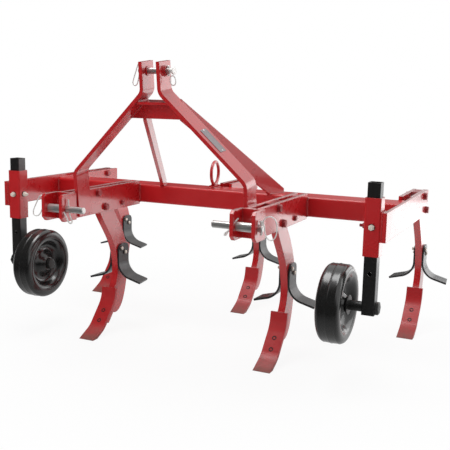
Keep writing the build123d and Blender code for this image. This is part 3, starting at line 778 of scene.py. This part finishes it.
for name, across, row, model, aside in tines:
    set_of_bolts = []
    for number, (back, up) in enumerate(((0.203, 0.533), (0.249, 0.477))):
        twist = Matrix.Rotation(math.radians(17 + 23 * number), 4, "X")
        place = Matrix.Translation((across + aside, row + back, up))
        set_of_bolts.append(copy_at(model, place @ twist))
    if name.startswith("front"):
        place = Matrix.Translation((across, row + 0.359, 0.479))
        set_of_bolts.append(copy_at(small_bolt, place))
    join_pieces(set_of_bolts, f"bolts_of_tine_{name}", "frame")
for model in (thin_bolt, thick_bolt, small_bolt):
    bpy.data.objects.remove(model)

# Shares: bent flat bar on the front edge of each shank, red with the soil's wear on the tip,
# held by two countersunk screws. Their dark, hollow heads lie almost flush with the face.
ground_wear, entry, result = new_effect(
    "ground_wear", [("Low", 0.02), ("High", 0.09)], [("Mask", "NodeSocketFloat")])
spot = place_node(ground_wear, "ShaderNodeTexCoord", {})
parts = place_node(ground_wear, "ShaderNodeSeparateXYZ", {"Vector": spot.outputs["Object"]})
scuffs = place_node(ground_wear, "ShaderNodeTexNoise", {
    "Vector": spot.outputs["Object"], "Scale": 42.0, "Detail": 6.0, "Roughness": 0.7})
spread = place_node(ground_wear, "ShaderNodeMath", {
    0: scuffs.outputs["Fac"], 1: -0.06, 2: parts.outputs["Z"]}, operation="MULTIPLY_ADD")
lifted = place_node(ground_wear, "ShaderNodeMath", {0: spread.outputs["Value"], 1: 0.03}, operation="ADD")
rubbed = place_node(ground_wear, "ShaderNodeMapRange", {
    "Value": lifted.outputs["Value"], "From Min": entry.outputs["High"], "From Max": entry.outputs["Low"]})
ground_wear.links.new(rubbed.outputs["Result"], result.inputs["Mask"])

share_red = coated_steel(
    "share_red", (0.46, 0.0085, 0.0110), (0.38, 0.0065, 0.0090), (0.40, 0.06, 0.05),
    roughness=0.38, coat=0.10, ripple_depth=0.12, edge=0.0020, wear=0.5, dust=0.03)
tree = share_red.node_tree
shader = tree.nodes["Principled BSDF"]
painted = shader.inputs["Base Color"].links[0].from_socket
gloss = shader.inputs["Roughness"].links[0].from_socket
tip = use_effect(tree, ground_wear, Low=-0.010, High=0.036)
bared = place_node(tree, "ShaderNodeMixRGB", {
    "Fac": tip.outputs["Mask"], "Color1": painted, "Color2": (0.170, 0.062, 0.045, 1)})
matt = place_node(tree, "ShaderNodeMath", {
    0: tip.outputs["Mask"], 1: 0.22, 2: gloss}, operation="MULTIPLY_ADD")
tree.links.new(bared.outputs["Color"], shader.inputs["Base Color"])
tree.links.new(matt.outputs["Value"], shader.inputs["Roughness"])

black_screw = plated_steel("black_screw", (0.030, 0.020, 0.020), (0.016, 0.011, 0.011), 0.50, 0.3,
                           rubbed_colour=(0.07, 0.05, 0.05))
bpy.ops.object.select_all(action="DESELECT")
bpy.ops.mesh.primitive_cylinder_add(vertices=24, radius=0.0078, depth=0.006, location=(0, 0, -0.0026))
screw = bpy.context.object
into_mesh(screw)
bpy.ops.object.mode_set(mode="EDIT")
choose("FACE", lambda face: face.normal.z > 0.9)
bpy.ops.mesh.inset(thickness=0.0008)
bpy.ops.mesh.inset(thickness=0.0028)
bpy.ops.mesh.extrude_region_move(TRANSFORM_OT_translate={"value": (0, 0, -0.0035)})
bpy.ops.object.mode_set(mode="OBJECT")
bpy.ops.object.shade_smooth_by_angle(angle=math.radians(35))
screw.data.materials.append(black_screw)
face_turn = Matrix.Rotation(math.atan2(0.746, 0.666), 4, "X")
for name, across, row, model, aside in tines:
    finish_nodes(share_red, f"share_{name}")
    heads = []
    for back, up in ((0.267, -0.4176), (0.239, -0.4490)):
        place = Matrix.Translation((across, row + back, 0.5 + up))
        heads.append(copy_at(screw, place @ face_turn))
    join_pieces(heads, f"screws_of_share_{name}", "frame")
bpy.data.objects.remove(screw)

# Wings: spring steel strips, bent outwards and left dark from the forge, on both sides of the shank.
# Two bolts hold each pair, with bright nuts on dark washers.
forged = coated_steel(
    "forged_dark", (0.034, 0.034, 0.036), (0.020, 0.020, 0.021), (0.16, 0.15, 0.14),
    roughness=0.36, coat=0.15, ripple_depth=0.45, edge=0.0012, wear=0.9, dust=0.10)
forged.node_tree.nodes["Principled BSDF"].inputs["Metallic"].default_value = 0.35
nut_zinc = plated_steel("yellow_zinc", (0.74, 0.68, 0.60), (0.48, 0.43, 0.37), 0.36, 0.5)
wing_bolt = bolt_with_nut(0.039, 0.0050, 0.0125, 0.0105, 0.003, (nut_zinc, dark_washer, nut_zinc))
for name, across, row, model, aside in tines:
    finish_nodes(forged, f"wings_{name}")
    pair = []
    for back, up in ((0.360, -0.196), (0.385, -0.214)):
        twist = Matrix.Rotation(math.radians(back * 900), 4, "X")
        pair.append(copy_at(wing_bolt, Matrix.Translation((across, row + back, 0.5 + up)) @ twist))
    join_pieces(pair, f"bolts_of_wings_{name}", "frame")
bpy.data.objects.remove(wing_bolt)


# Sleeves of the gauge wheels: square tube, welded to the front ends of the arms and painted with
# them. A pale zinc-plated bolt in front and a longer one from inside clamp the leg.
finish_nodes(red_powder, "sleeve_right", "sleeve_left")
weld_bead_pieces = []
both_sides([
    # start, end, size
    ((0.7006, -0.2992, 0.4610), (0.7006, -0.2992, 0.5470), 0.0042),
    ((0.7006, -0.2556, 0.4610), (0.7006, -0.2556, 0.5470), 0.0042),
    ((0.7000, -0.2960, 0.5462), (0.7000, -0.2590, 0.5462), 0.0040),
    ((0.7000, -0.2960, 0.4618), (0.7000, -0.2590, 0.4618), 0.0040),
])
sleeve_welds = join_pieces(weld_bead_pieces, "welds_of_sleeves", "frame")
sleeve_welds.data.materials.append(red_powder)


pale_zinc = plated_steel("pale_zinc", (0.86, 0.79, 0.70), (0.70, 0.62, 0.54), 0.40, 0.15)


def clamping_bolt(long, colour):
    """A set bolt standing on Z = 0: washer, lock nut, shaft and its small square-cornered head."""
    ring = washer(0.0105, 0.0052, 0.0016)
    ring.data.materials.append(dark_washer)
    nut = hexagon(0.0165, 0.0062, 0.0015)
    nut.data.materials.append(colour)
    shaft = threaded_bar(0.0050, -0.003, 0.0170 if long else 0.0095, 0.0012)
    shaft.data.materials.append(colour)
    made = [ring, nut, shaft]
    if not long:
        cap = hexagon(0.0130, 0.0045, 0.0085)
        cap.data.materials.append(colour)
        made.append(cap)
    bpy.ops.object.select_all(action="DESELECT")
    for piece in made:
        piece.select_set(True)
    bpy.context.view_layer.objects.active = made[0]
    bpy.ops.object.join()
    return bpy.context.object


sleeve_face = Vector((0.672, -0.3023, 0.503))
sleeve_cheek = Vector((0.6471, -0.277363, 0.503))
front_bolt = clamping_bolt(False, pale_zinc)
front_bolt.data.transform(Matrix.Translation(sleeve_face) @ Matrix.Rotation(math.radians(90), 4, "X"))
inner_seat = Matrix.Translation(sleeve_cheek) @ Matrix.Rotation(math.radians(-90), 4, "Y")
# The right inner clamping bolt takes the same darker red, which is painted shade.
inner_bolt = clamping_bolt(True, bolt_red_darkened_as_painted_shade)
inner_bolt.data.transform(inner_seat)
bright_bolt = clamping_bolt(True, pale_zinc)
bright_bolt.data.transform(inner_seat)
left_front_bolt = mirror_across(front_bolt)
left_inner_bolt = mirror_across(bright_bolt)
bpy.data.objects.remove(bright_bolt)
join_pieces([front_bolt, inner_bolt], "clamping_bolts_right", "frame")
join_pieces([left_front_bolt, left_inner_bolt], "clamping_bolts_left", "frame")

# Legs and axles: square tube with a row of height holes, a stub axle welded through its foot,
# both painted satin black. Hexagon nuts close the axle outside the leg and inside the wheel.
leg_black = coated_steel(
    "leg_black_paint", (0.0150, 0.0145, 0.0140), (0.0100, 0.0098, 0.0095), (0.11, 0.10, 0.10),
    roughness=0.33, coat=0.15, ripple_depth=0.12, edge=0.0014, wear=0.6, dust=0.08)
finish_nodes(leg_black, "leg_right", "leg_left")
axle_black = coated_steel(
    "axle_matt_black", (0.0120, 0.0115, 0.0110), (0.0070, 0.0068, 0.0066), (0.08, 0.07, 0.06),
    roughness=0.50, coat=0.0, ripple_depth=0.20, edge=0.0010, wear=0.5, dust=0.05)
finish_nodes(axle_black, "axle_right", "axle_left")
wheel_line = Vector((0.571, -0.277363, 0.251))
leg_outside = 0.692
hub_inside = 0.53695
for name in ("right", "left"):
    outer_nut = hexagon(0.0360, 0.0100, 0.0)
    outward = Matrix.Rotation(math.radians(90), 4, "Y")
    outer_nut.data.transform(Matrix.Translation((leg_outside, wheel_line.y, wheel_line.z)) @ outward)
    inner_nut = hexagon(0.0345, 0.0125, 0.0)
    inward = Matrix.Rotation(math.radians(-90), 4, "Y")
    inner_nut.data.transform(Matrix.Translation((hub_inside, wheel_line.y, wheel_line.z)) @ inward)
    pair = [outer_nut, inner_nut]
    if name == "left":
        originals = pair
        pair = [mirror_across(piece) for piece in originals]
        for piece in originals:
            bpy.data.objects.remove(piece)
    for piece in pair:
        piece.data.materials.append(axle_black)
    join_pieces(pair, f"axle_nuts_{name}", f"leg_{name}")

# Gauge wheels: two steel pressings welded into one hollow wheel with a round shoulder, a deep dish
# and a cone that runs out to the hub. Three faint ridges run round the tread. Gloss black.
gloss_black = coated_steel(
    "wheel_gloss_black", (0.0110, 0.0108, 0.0105), (0.0080, 0.0079, 0.0078), (0.06, 0.055, 0.05),
    roughness=0.22, coat=0.25, ripple_depth=0.02, edge=0.0002, wear=0.0, dust=0.04)
half_profile = [
    # along the axle, radius
    (0.0340, 0.0127), (0.0340, 0.0190), (0.0340, 0.0236), (0.0325, 0.0245), (0.0270, 0.0285),
    (0.0210, 0.0345), (0.0135, 0.0410), (0.0075, 0.0480), (0.0050, 0.0560), (0.0058, 0.0640),
    (0.0110, 0.0720), (0.0210, 0.0775), (0.0305, 0.0825), (0.0368, 0.0900), (0.0390, 0.0985),
    (0.0388, 0.1080), (0.0360, 0.1165), (0.0315, 0.1220), (0.0262, 0.1240), (0.0246, 0.1252),
    (0.0230, 0.1242), (0.0130, 0.1248), (0.0018, 0.1250), (0.0004, 0.1261),
]
bpy.ops.object.select_all(action="DESELECT")
bpy.ops.mesh.primitive_plane_add(size=0.01)
wheel = bpy.context.object
bpy.ops.object.mode_set(mode="EDIT")
bpy.ops.mesh.delete(type="VERT")
outline = bmesh.from_edit_mesh(wheel.data)
whole_profile = half_profile + [(-along, radius) for along, radius in reversed(half_profile)]
corners = [outline.verts.new((along, 0, radius * 1.001)) for along, radius in whole_profile]
for number, corner in enumerate(corners):
    outline.edges.new((corner, corners[(number + 1) % len(corners)]))
bmesh.update_edit_mesh(wheel.data)
bpy.ops.mesh.select_all(action="SELECT")
bpy.ops.mesh.spin(steps=48, angle=math.radians(360), center=(0, 0, 0), axis=(1, 0, 0), use_auto_merge=True)
bpy.ops.mesh.select_all(action="SELECT")
bpy.ops.mesh.remove_doubles(threshold=0.0001)
bpy.ops.mesh.normals_make_consistent(inside=False)
bpy.ops.object.mode_set(mode="OBJECT")
smoothing = wheel.modifiers.new("smoothing", "SUBSURF")
smoothing.levels = 2
smoothing.render_levels = 2
apply_all(wheel)
bpy.ops.object.shade_smooth()
wheel.data.materials.clear()
wheel.data.materials.append(gloss_black)
for name, side in (("right", 1), ("left", -1)):
    place = Matrix.Translation((side * wheel_line.x, wheel_line.y, wheel_line.z))
    dressed = join_pieces([copy_at(wheel, place)], f"gauge_wheel_{name}", f"wheel_{name}")
    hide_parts(f"wheel_{name}")
bpy.data.objects.remove(wheel)
